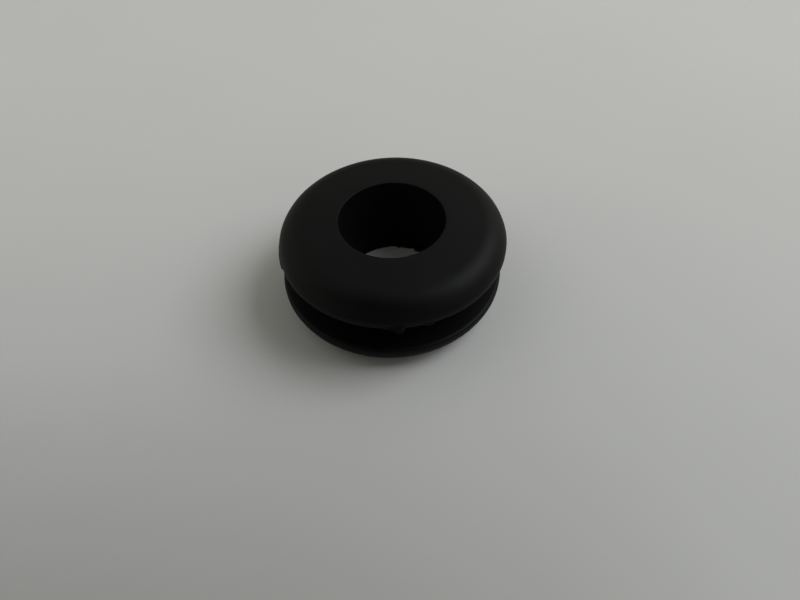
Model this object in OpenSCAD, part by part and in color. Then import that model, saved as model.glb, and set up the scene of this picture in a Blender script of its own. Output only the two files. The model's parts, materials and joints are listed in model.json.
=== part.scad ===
// Moulded rubber grommet: two domed flanges with a groove between them for the edge of a panel,
// and a straight hole through the middle for a cable.
// It lies on its lower flange. The axis is Z, and the origin is where the axis meets the surface
// that it stands on. All sizes are in millimetres.

/* [Overall] */
// Outside diameter of both flanges
flange_d = 20; // [18.5:0.1:30]
// Diameter of the hole for the cable
bore_d = 9.3; // [5:0.1:10.5]

/* [Flanges] */
// Thickness of a flange at the rim of the hole
flange_t = 2.6; // [2.5:0.05:4]
// Slope of the flange's face, from the rim of the hole down to the shoulder, in degrees
face_slope = 3; // [1:0.5:8]
// Height of the upright band between the shoulder's foot and the groove
band_h = 0.15; // [0.1:0.05:0.8]
// Radius left on the rims of the hole
rim_r = 0.12; // [0.05:0.01:0.25]

/* [Groove] */
// Width of the groove, which is the thickest panel that it takes
groove_w = 3; // [1.5:0.1:5]
// Diameter at the bottom of the groove, which is the hole in the panel
groove_d = 14; // [12.5:0.1:16]
// Radius in the corners at the bottom of the groove
groove_r = 0.3; // [0.1:0.05:0.6]

/* [Flash] */
// Thickness of the thin rubber squeezed out where the mould's halves met
flash_t = 0.14; // [0.08:0.01:0.25]
// Height of the flash above the upper flange's lower edge
flash_up = 0.03; // [0.02:0.01:0.2]
// How far the torn tag stands out from the upper flange's edge
tag_out = 0.5; // [0.2:0.05:0.8]
// Width of the torn tag at its root
tag_w = 1.7; // [0.8:0.1:3]
// Direction of the torn tag about the axis, in degrees from +X
tag_at = -88; // [-180:1:180]
// How far the low strip of flash stands out from the upper flange's edge
strip_out = 0.12; // [0.06:0.01:0.3]
// Direction of the strip's first end, in degrees from +X
strip_from = 184; // [0:1:330]
// Angle that the strip runs through, in degrees
strip_sweep = 16; // [5:1:80]
// How far the burr at the foot of the hole reaches in from the wall
burr_in = 0.2; // [0.05:0.01:0.25]
// Width of the burr
burr_w = 1.2; // [0.5:0.1:2]
// Direction of the burr about the axis, in degrees from +X
burr_at = 78; // [-180:1:180]

/* [Hidden] */
$fn = 128;

flange_r = flange_d / 2;
bore_r = bore_d / 2;
waist_r = groove_d / 2;
height = 2 * flange_t + groove_w;
upper_z = flange_t + groove_w;
flash_z = upper_z + flash_up;

// How deep a piece of flash is rooted in the body, so that it grows out of solid rubber
root = 0.3;
// Width of the blunt tip of a torn piece of flash, as a share of its width at the root
tip_share = 0.3;

// A flange's half section is drawn with x as the radius and y as the height above the groove.

// A unit vector at an angle
function unit(a) = [cos(a), sin(a)];

// The rim of the hole is an arc that touches the upright wall, and its top is the flange's top.
rim_c = [bore_r + rim_r, flange_t - rim_r];

// The face is a straight line that touches the rim. This is the direction square to it, away
// from the rubber.
face_normal = 90 - face_slope;
face_start = rim_c + rim_r * unit(face_normal);

// Height of the face's line at a radius
function face_y(x) = face_start.y - (x - face_start.x) * tan(face_slope);

// The shoulder is the one arc that touches the face's line and the top of the upright band.
shoulder_r = (face_y(flange_r) - band_h) * cos(face_slope) / (1 - sin(face_slope));
shoulder_c = [flange_r - shoulder_r, band_h];

// All that lies outside an arc, seen from its centre between two angles up to 120 degrees apart,
// to a reach that clears the flange's section
module beyond_arc(centre, r, from, to) {
    reach = 4 * flange_t;
    translate(centre)
        difference() {
            polygon([[0, 0], reach * unit(from), reach * unit((from + to) / 2), reach * unit(to)]);
            circle(r);
        }
}

// Half section of one flange
module flange_section() {
    difference() {
        polygon([
            [bore_r, 0], [flange_r, 0], [flange_r, face_y(flange_r)], [bore_r, face_y(bore_r)]
        ]);
        beyond_arc(shoulder_c, shoulder_r, 0, face_normal);
        beyond_arc(rim_c, rim_r, face_normal, 180);
    }
}

// Half section of the waist between the middle of the groove and a flange, with the small
// radius that fills the corner
module waist_section() {
    translate([bore_r, -groove_w / 2])
        square([waist_r - bore_r, groove_w / 2]);
    difference() {
        translate([bore_r, -groove_r])
            square([waist_r + groove_r - bore_r, groove_r]);
        translate([waist_r + groove_r, -groove_r])
            circle(groove_r);
    }
}

// The moulded body, turned from two mirrored half sections
module body() {
    rotate_extrude()
        for (side = [0, 1])
            translate([0, height / 2])
                mirror([0, side])
                    translate([0, groove_w / 2]) {
                        flange_section();
                        waist_section();
                    }
}

// A low strip of flash along the upper flange's edge
module flash_strip() {
    rotate([0, 0, strip_from])
        translate([0, 0, flash_z])
            rotate_extrude(angle = strip_sweep)
                translate([flange_r - root, 0])
                    square([root + strip_out, flash_t]);
}

// A torn piece of flash that stands out along +X from x = 0, and narrows to a blunt tip
module torn_fin(out, width) {
    half_tip = width * tip_share / 2;
    linear_extrude(flash_t)
        polygon([
            [-root, -width / 2], [0, -width / 2], [out, -half_tip],
            [out, half_tip], [0, width / 2], [-root, width / 2]
        ]);
}

// The torn tag that stands out from the upper flange's edge
module flash_tag() {
    rotate([0, 0, tag_at])
        translate([flange_r, 0, flash_z])
            torn_fin(tag_out, tag_w);
}

// The burr that reaches into the hole from the foot of its wall
module bore_burr() {
    rotate([0, 0, burr_at])
        translate([bore_r, 0, rim_r])
            mirror([1, 0, 0])
                torn_fin(burr_in, burr_w);
}

module grommet() {
    color([0.1, 0.1, 0.1]) {
        body();
        flash_strip();
        flash_tag();
        bore_burr();
    }
}

grommet();
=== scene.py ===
import json
import math

import bmesh
import bpy
from mathutils import Matrix, Vector, noise


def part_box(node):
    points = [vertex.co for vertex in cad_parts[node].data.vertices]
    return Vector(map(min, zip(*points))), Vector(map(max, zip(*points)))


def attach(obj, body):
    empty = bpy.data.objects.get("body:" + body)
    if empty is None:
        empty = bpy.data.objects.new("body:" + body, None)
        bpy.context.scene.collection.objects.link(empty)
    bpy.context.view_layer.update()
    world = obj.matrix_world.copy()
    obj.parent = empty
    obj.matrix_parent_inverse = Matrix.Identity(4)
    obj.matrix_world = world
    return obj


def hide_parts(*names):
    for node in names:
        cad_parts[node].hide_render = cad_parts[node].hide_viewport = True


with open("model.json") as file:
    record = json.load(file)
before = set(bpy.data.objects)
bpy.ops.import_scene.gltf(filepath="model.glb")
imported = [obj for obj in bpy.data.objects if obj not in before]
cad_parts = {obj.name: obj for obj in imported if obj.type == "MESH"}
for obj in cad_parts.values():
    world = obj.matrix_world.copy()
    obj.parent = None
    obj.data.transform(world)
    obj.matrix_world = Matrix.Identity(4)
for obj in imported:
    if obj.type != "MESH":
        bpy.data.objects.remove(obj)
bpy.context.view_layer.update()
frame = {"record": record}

scene = bpy.context.scene
scene.view_settings.view_transform = "Standard"


# ---------------------------------------------------------------------------------------------
# The grommet's form. It is one moulding of black rubber: two domed flanges, the waist between
# them that makes the groove, and a straight hole for the cable. The upper half of its section is
# drawn here as points, each a radius and a height, and the lower half mirrors it.
# ---------------------------------------------------------------------------------------------
MM = 0.001
mounts = {mount["name"]: mount for mount in frame["record"]["mounts"]}
cad_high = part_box("grommet")[1]

bore_r = mounts["cable_hole"]["dims"]["r_mm"] * MM
upper_wall_z = mounts["groove_upper_wall"]["pos_m"][2]
flange_r = cad_high.x
height = cad_high.z

rim_r = 0.08 * MM              # the rims of the hole
face_slope = math.radians(3)   # from the rim of the hole down to the shoulder
waist_r = 7.0 * MM
groove_corner_r = 0.3 * MM
edge_r = 0.28 * MM             # the flanges' edges next to the groove are blunt

# The shoulder is two arcs. The wide one falls from the face to the knee, where it leans out by
# this angle, and the small one turns from there to the upright edge.
knee_lean = math.radians(15)
small_arc_r = 0.94 * MM
upright_z = upper_wall_z + 0.5 * MM


def arc(centre, radius, start, end, steps):
    """Points on an arc from one angle to another."""
    angles = [start + (end - start) * i / steps for i in range(steps + 1)]
    return [(centre[0] + radius * math.cos(a), centre[1] + radius * math.sin(a)) for a in angles]


def between(start, end, steps):
    """Points that split a straight line into equal steps, without its two ends."""
    shares = [i / steps for i in range(1, steps)]
    return [(start[0] + (end[0] - start[0]) * t, start[1] + (end[1] - start[1]) * t) for t in shares]


def shoulder(face_end):
    """The shoulder, from where the sloping face ends on it down to the upright edge. The wide
    arc's radius is the one that makes it touch both the face and the small arc."""
    square_to_face = math.pi / 2 - face_slope
    small_centre = (flange_r - small_arc_r, upright_z)
    small = arc(small_centre, small_arc_r, knee_lean, 0, steps=5)
    fall = ((face_end[0] - small[0][0]) * math.cos(square_to_face)
            + (face_end[1] - small[0][1]) * math.sin(square_to_face))
    wide_r = fall / (1 - math.cos(square_to_face - knee_lean))
    wide_centre = (small[0][0] - wide_r * math.cos(knee_lean),
                   small[0][1] - wide_r * math.sin(knee_lean))
    return arc(wide_centre, wide_r, square_to_face, knee_lean, steps=24) + small[1:]


def flange_outline():
    """The upper flange from the hole's wall over the rim, the sloping face and the shoulder, down
    to the top of its blunt edge."""
    rim_centre = (bore_r + rim_r, height - rim_r)
    rim = arc(rim_centre, rim_r, math.pi, math.pi / 2 - face_slope, steps=6)
    dome = shoulder(rim[-1])
    edge_top = (flange_r, upper_wall_z + edge_r)
    return rim + between(rim[-1], dome[0], steps=6) + dome + between(dome[-1], edge_top, steps=3)


def blunt_edge():
    """The rounded edge between a flange's outside and the groove, down to the groove's side."""
    return arc((flange_r - edge_r, upper_wall_z + edge_r), edge_r, 0, -math.pi / 2, steps=8)


def groove_outline():
    """The upper half of the groove, from behind the blunt edge along the flange's flat side, and
    round the corner to the waist."""
    corner_centre = (waist_r + groove_corner_r, upper_wall_z - groove_corner_r)
    corner = arc(corner_centre, groove_corner_r, math.pi / 2, math.pi, steps=6)
    return between((flange_r - edge_r, upper_wall_z), corner[0], steps=5) + corner


# ---------------------------------------------------------------------------------------------
# The flash. It is the thin rubber squeezed out where the mould's plates met, and torn off after
# moulding. Bits of it are left on the upper flange's edge, a low strip at the left and a hanging
# tag at the front, and it is ragged round the foot of the hole.
# ---------------------------------------------------------------------------------------------
# Each torn bit: direction, width, reach outwards, droop, share of the half width that tapers
edge_bits = [
    (math.radians(190), 3.2 * MM, 0.15 * MM, 0.0, 0.1),          # the low strip
    (math.radians(271.6), 1.1 * MM, 0.42 * MM, 0.22 * MM, 0.6),  # the tag
    (math.radians(268.5), 1.4 * MM, 0.22 * MM, 0.12 * MM, 0.8),
    (math.radians(265.5), 0.5 * MM, 0.1 * MM, 0.06 * MM, 0.9),
    (math.radians(285.5), 1.0 * MM, 0.14 * MM, 0.12 * MM, 0.5),
]
foot_bits = [
    (math.radians(73), 1.2 * MM, 0.2 * MM, 0.0, 0.3),
    (math.radians(83), 0.7 * MM, 0.3 * MM, 0.0, 0.7),            # the burr
    (math.radians(59), 0.8 * MM, 0.3 * MM, 0.0, 0.5),
    (math.radians(104), 1.4 * MM, 0.07 * MM, 0.0, 0.5),
]
stub = 0.02 * MM               # the most that is left where no bit hangs
stub_grain = 0.5 * MM
fray = 0.25                    # the most that fraying takes off a bit, as a share of its reach
fray_grain = 0.25 * MM
foot_flash_t = 0.14 * MM

# What each point of the blunt edge takes of a bit's reach and droop, from the top of the edge to
# its underside
reach_shares = [0.15, 0.6, 1, 0.95, 0.45, 0.1, 0, 0, 0]
droop_shares = [0, 0.4, 0.95, 1.1, 0.6, 0.1, 0, 0, 0]
# The profile of the flash at the foot of the hole, as shares of its reach and its thickness
foot_profile = [(0.9, 0.1), (1, 0.4), (0.6, 0.9), (0, 1)]


def rag(angle, grain, seed):
    """An uneven share from 0 to 1, the same each time, that changes over a length of grain."""
    place = Vector((math.cos(angle), math.sin(angle), 0)) * flange_r / grain
    swing = 0.8 * noise.noise(place + Vector((0, 0, seed)))
    return min(max(0.5 + swing, 0), 1)


def along_edge(angle, at, width, radius, taper):
    """1 inside a stretch of that width about a direction, and from there down to 0 at its ends.
    The taper is the share of the half width that the ends take."""
    off = abs((at - angle + math.pi) % (2 * math.pi) - math.pi) * radius
    return min(max((width / 2 - off) / (width / 2 * taper), 0), 1)


def torn(angle, bits, radius):
    """How far the flash reaches, and how far it droops, at an angle round the axis."""
    reach = stub * rag(angle, stub_grain, seed=11)
    droop = 0
    for at, width, out, down, taper in bits:
        share = along_edge(angle, at, width, radius, taper)
        share *= 1 - fray * rag(angle, fray_grain, seed=7)
        reach = max(reach, out * share)
        droop = max(droop, down * share)
    return reach, droop


def torn_edge(angle):
    """The blunt edge with its torn bits, which grow out of it and droop."""
    reach, droop = torn(angle, edge_bits, flange_r)
    return [(r + reach * out, z - droop * down)
            for (r, z), out, down in zip(blunt_edge(), reach_shares, droop_shares)]


def foot_flash(angle):
    """The section of the flash at the foot of the hole, from its underside to its top."""
    reach = torn(angle, foot_bits, bore_r)[0]
    return [(bore_r - reach * inward, rim_r + foot_flash_t * up) for inward, up in foot_profile]


# ---------------------------------------------------------------------------------------------
# The moulding. Rings of the section's points are joined round the axis into one closed skin. The
# mould's two halves stood a little off each other, and rubber is slightly uneven once it has
# cooled and shrunk off its mould.
# ---------------------------------------------------------------------------------------------
turns = 600                    # sections round the axis
sink_depth = 0.012 * MM        # how uneven the skin is, and over what width
sink_width = 2.5 * MM
crisp_corner = math.radians(40)  # corners that turn more than this stay crisp
mismatch = Vector((-0.2 * MM, 0, 0))
mismatch_from, mismatch_full = 7.3 * MM, 8.3 * MM  # radii between which it sets in


def section(angle):
    """The whole section at an angle round the axis, once round."""
    groove = groove_outline()
    lower = flange_outline() + blunt_edge() + groove
    below = [(r, height - z) for r, z in reversed(lower)]
    foot = foot_flash(angle)
    upper = flange_outline() + torn_edge(angle) + groove
    return upper + below + foot + between(foot[-1], upper[0], steps=12)


def lower_half_off(radius, z):
    """How far the mould's lower half stood off the axis, for a point of the section. The pin that
    makes the hole belongs to the upper half, so it is the outer part that moves."""
    if z > height / 2:
        return Vector((0, 0, 0))
    return mismatch * min(max((radius - mismatch_from) / (mismatch_full - mismatch_from), 0), 1)


def turned_skin(name):
    """A closed mesh of one section for each step round the axis."""
    skin = bmesh.new()
    rings = []
    for step in range(turns):
        angle = 2 * math.pi * step / turns
        ring = [Vector((r * math.cos(angle), r * math.sin(angle), z)) + lower_half_off(r, z)
                for r, z in section(angle)]
        rings.append([skin.verts.new(point) for point in ring])
    for here, after in zip(rings, rings[1:] + rings[:1]):
        for a, b, c, d in zip(here, after, after[1:] + after[:1], here[1:] + here[:1]):
            skin.faces.new((a, b, c, d)).smooth = True
    skin.normal_update()
    moves = [v.normal * noise.noise(v.co / sink_width) * sink_depth for v in skin.verts]
    for vertex, move in zip(skin.verts, moves):
        vertex.co += move
    bmesh.ops.recalc_face_normals(skin, faces=skin.faces)
    mesh = bpy.data.meshes.new(name)
    skin.to_mesh(mesh)
    skin.free()
    mesh.set_sharp_from_angle(angle=crisp_corner)
    return mesh


grommet = bpy.data.objects.new("moulded_grommet", turned_skin("moulded_grommet"))
scene.collection.objects.link(grommet)


# ---------------------------------------------------------------------------------------------
# The rubber. It is a carbon-black filled rubber, pressed in a spark-eroded steel mould and left as
# moulded: nearly black all through, satin, with a fine even grain and a few paler patches of
# bloom. Carbon black soaks up most of the light, so its gloss is low as well.
# ---------------------------------------------------------------------------------------------
grain_size = 0.14 * MM         # the real grain is about 0.03, too fine to show, so it is coarser here
grain_depth = 0.01 * MM
bloom_size = 3.0 * MM
bloom_from, bloom_full = 0.35, 0.7  # the part of the noise that counts as bloom
bare_tone, bloom_tone = "#060607", "#080809"
satin_least, satin_most = 0.455, 0.555  # roughness, where rubber from such a mould is about 0.5


def linear(hex_colour):
    """A linear RGBA colour from an sRGB hex value."""
    parts = [int(hex_colour[i:i + 2], 16) / 255 for i in (1, 3, 5)]
    return [p / 12.92 if p <= 0.04045 else ((p + 0.055) / 1.055) ** 2.4 for p in parts] + [1]


def add_node(tree, kind, inputs=None, **properties):
    """Adds a node with its properties. An input takes a value or another node's output."""
    made = tree.nodes.new(kind)
    for name, value in properties.items():
        setattr(made, name, value)
    for name, value in (inputs or {}).items():
        if isinstance(value, bpy.types.NodeSocket):
            tree.links.new(value, made.inputs[name])
        else:
            made.inputs[name].default_value = value
    return made


def new_material(name):
    """A material with nothing in its node tree yet, and that tree."""
    material = bpy.data.materials.new(name)
    material.use_nodes = True
    material.node_tree.nodes.clear()
    return material, material.node_tree


rubber, tree = new_material("moulded black rubber")
place = add_node(tree, "ShaderNodeTexCoord").outputs["Object"]
grain = add_node(tree, "ShaderNodeTexNoise", {"Vector": place, "Scale": 1 / grain_size, "Detail": 2})
bloom = add_node(tree, "ShaderNodeTexNoise", {"Vector": place, "Scale": 1 / bloom_size, "Detail": 5})
tone = add_node(tree, "ShaderNodeValToRGB", {"Fac": bloom.outputs["Fac"]})
tone.color_ramp.elements[0].position = bloom_from
tone.color_ramp.elements[0].color = linear(bare_tone)
tone.color_ramp.elements[1].position = bloom_full
tone.color_ramp.elements[1].color = linear(bloom_tone)
satin = add_node(tree, "ShaderNodeMapRange", {
    "Value": bloom.outputs["Fac"], "To Min": satin_least, "To Max": satin_most})
skin_grain = add_node(tree, "ShaderNodeBump", {
    "Height": grain.outputs["Fac"], "Strength": 0.3, "Distance": grain_depth})
surface = add_node(tree, "ShaderNodeBsdfPrincipled", {
    "Base Color": tone.outputs["Color"],
    "Roughness": satin.outputs["Result"],
    "Normal": skin_grain.outputs["Normal"],
    "IOR": 1.5,
    "Specular IOR Level": 0.08,
})
add_node(tree, "ShaderNodeOutputMaterial", {"Surface": surface.outputs["BSDF"]})

grommet.data.materials.append(rubber)
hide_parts("grommet")
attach(grommet, "root")


# ---------------------------------------------------------------------------------------------
# The table top: a pale, matt, plain sheet of card under the grommet, wide enough to fill the view.
# Its paper is very slightly cloudy.
# ---------------------------------------------------------------------------------------------
card_side = 1.6                # metres, so that its far edge is near the horizon
cloud_size = 25 * MM
card_tone, cloud_tone = "#afafaf", "#b3b3b3"

card, tree = new_material("matt pale card")
place = add_node(tree, "ShaderNodeTexCoord").outputs["Object"]
cloud = add_node(tree, "ShaderNodeTexNoise", {"Vector": place, "Scale": 1 / cloud_size, "Detail": 3})
tone = add_node(tree, "ShaderNodeValToRGB", {"Fac": cloud.outputs["Fac"]})
tone.color_ramp.elements[0].color = linear(card_tone)
tone.color_ramp.elements[1].color = linear(cloud_tone)
surface = add_node(tree, "ShaderNodeBsdfPrincipled", {
    "Base Color": tone.outputs["Color"], "Roughness": 0.9, "Specular IOR Level": 0.1})
add_node(tree, "ShaderNodeOutputMaterial", {"Surface": surface.outputs["BSDF"]})

sheet = bmesh.new()
bmesh.ops.create_grid(sheet, x_segments=1, y_segments=1, size=card_side / 2)
sheet_mesh = bpy.data.meshes.new("table_top")
sheet.to_mesh(sheet_mesh)
sheet.free()
sheet_mesh.materials.append(card)
table_top = bpy.data.objects.new("table_top", sheet_mesh)
scene.collection.objects.link(table_top)


# ---------------------------------------------------------------------------------------------
# The room. A soft window stands high at the right, and the walls that it lights give the rest: the
# left wall most, then the wall on both sides of the window, and the corner and ceiling least.
# ---------------------------------------------------------------------------------------------
def towards(azimuth, elevation):
    """A unit vector. Azimuth runs from +X to +Y, and both angles are in degrees."""
    around, up = math.radians(azimuth), math.radians(elevation)
    return Vector((math.cos(around) * math.cos(up), math.sin(around) * math.cos(up), math.sin(up)))


window_away = 0.7
window_at = towards(10, 47)
window_half_angle = math.radians(17)
window_glow = 5.35             # its brightness, where white card in full light is 1
window_tone, wall_tone = "#f7fcff", "#fffef4"  # daylight, and walls painted a warm white
backdrop_tone = "#b4b4b4"      # what is seen past the card, which lights nothing

lamp = bpy.data.lights.new("window", "AREA")
lamp.shape = "RECTANGLE"
lamp.color = linear(window_tone)[:3]
lamp.size = 2 * window_away * math.tan(window_half_angle)
lamp.size_y = lamp.size
lamp.energy = window_glow * math.pi * lamp.size * lamp.size_y
window = bpy.data.objects.new("window", lamp)
window.location = window_at * window_away
window.rotation_euler = window_at.to_track_quat("Z", "Y").to_euler()
window.visible_camera = False
scene.collection.objects.link(window)

room = bpy.data.worlds.new("dim room")
scene.world = room
room.use_nodes = True
tree = room.node_tree
tree.nodes.clear()
way = add_node(tree, "ShaderNodeTexCoord").outputs["Generated"]


def soft_patch(azimuth, elevation, narrowness, glow):
    """The brightness of a patch of wall that fades away from its middle, over a half sphere."""
    facing = add_node(tree, "ShaderNodeVectorMath", {0: way, 1: towards(azimuth, elevation)},
                      operation="DOT_PRODUCT").outputs["Value"]
    seen = add_node(tree, "ShaderNodeMath", {0: facing, 1: 0}, operation="MAXIMUM").outputs[0]
    faded = add_node(tree, "ShaderNodeMath", {0: seen, 1: narrowness}, operation="POWER").outputs[0]
    return add_node(tree, "ShaderNodeMath", {0: faded, 1: glow}, operation="MULTIPLY").outputs[0]


patches = [
    soft_patch(205, 25, narrowness=4, glow=1.22),  # the left wall
    soft_patch(135, 35, narrowness=4, glow=0.68),  # the corner behind it
    soft_patch(40, 30, narrowness=5, glow=1.12),   # the window's wall, behind the window
    soft_patch(330, 30, narrowness=5, glow=1.05),  # and in front of it
    soft_patch(270, 60, narrowness=8, glow=0.30),  # the ceiling
]
total = patches[0]
for patch in patches[1:]:
    total = add_node(tree, "ShaderNodeMath", {0: total, 1: patch}, operation="ADD").outputs[0]
walls = add_node(tree, "ShaderNodeBackground", {"Color": linear(wall_tone), "Strength": total})
backdrop = add_node(tree, "ShaderNodeBackground", {"Color": linear(backdrop_tone), "Strength": 1})
seen = add_node(tree, "ShaderNodeLightPath").outputs["Is Camera Ray"]
both = add_node(tree, "ShaderNodeMixShader", {
    0: seen, 1: walls.outputs["Background"], 2: backdrop.outputs["Background"]})
add_node(tree, "ShaderNodeOutputWorld", {"Surface": both.outputs["Shader"]})


# ---------------------------------------------------------------------------------------------
# The camera. It is close up, in front of the grommet, and looks down at about half a right angle,
# slightly rolled.
# ---------------------------------------------------------------------------------------------
picture_w = 800                # the picture's width in pixels
sensor_w = 36                  # the sensor's width in millimetres
lens_px = 610.5                # focal length in pixels
look_down = math.radians(50.61)
roll = math.radians(-2.31)
distance = 58.72 * MM          # from the foot of the hole, along the line of sight
aside = (-0.503 * MM, 1.824 * MM)  # the foot of the hole from the picture's middle

# Its own axes: from the grommet to the camera, and then the level and upward ones, rolled
back = Vector((0, -math.cos(look_down), math.sin(look_down)))
level = Vector((1, 0, 0))
upward = back.cross(level)
right = math.cos(roll) * level + math.sin(roll) * upward
top = math.cos(roll) * upward - math.sin(roll) * level

lens = bpy.data.cameras.new("camera")
lens.sensor_width = sensor_w
lens.lens = lens_px / picture_w * sensor_w
lens.clip_start = 1 * MM
lens.clip_end = 10
camera = bpy.data.objects.new("camera", lens)
scene.collection.objects.link(camera)
spot = distance * back - aside[0] * right - aside[1] * top
camera.matrix_world = Matrix.Translation(spot) @ Matrix((right, top, back)).transposed().to_4x4()
scene.camera = camera


# ---------------------------------------------------------------------------------------------
# The dark board that lies level over the near side of the table, as the viewer's own shadow. It
# takes the light off the nearest part of the card, and isn't seen itself.
# ---------------------------------------------------------------------------------------------
board_z = 48 * MM
board_left, board_right = -95 * MM, 45 * MM
board_near, board_far = -110 * MM, -19 * MM
board_tone = "#101010"

black_card, tree = new_material("matt black card")
surface = add_node(tree, "ShaderNodeBsdfDiffuse", {"Color": linear(board_tone)})
add_node(tree, "ShaderNodeOutputMaterial", {"Surface": surface.outputs["BSDF"]})

board_mesh = bpy.data.meshes.new("dark_board")
board_mesh.from_pydata([
    (board_left, board_near, board_z), (board_right, board_near, board_z),
    (board_right, board_far, board_z), (board_left, board_far, board_z),
], [], [(0, 1, 2, 3)])
board_mesh.materials.append(black_card)
board = bpy.data.objects.new("dark_board", board_mesh)
board.visible_camera = False
scene.collection.objects.link(board)
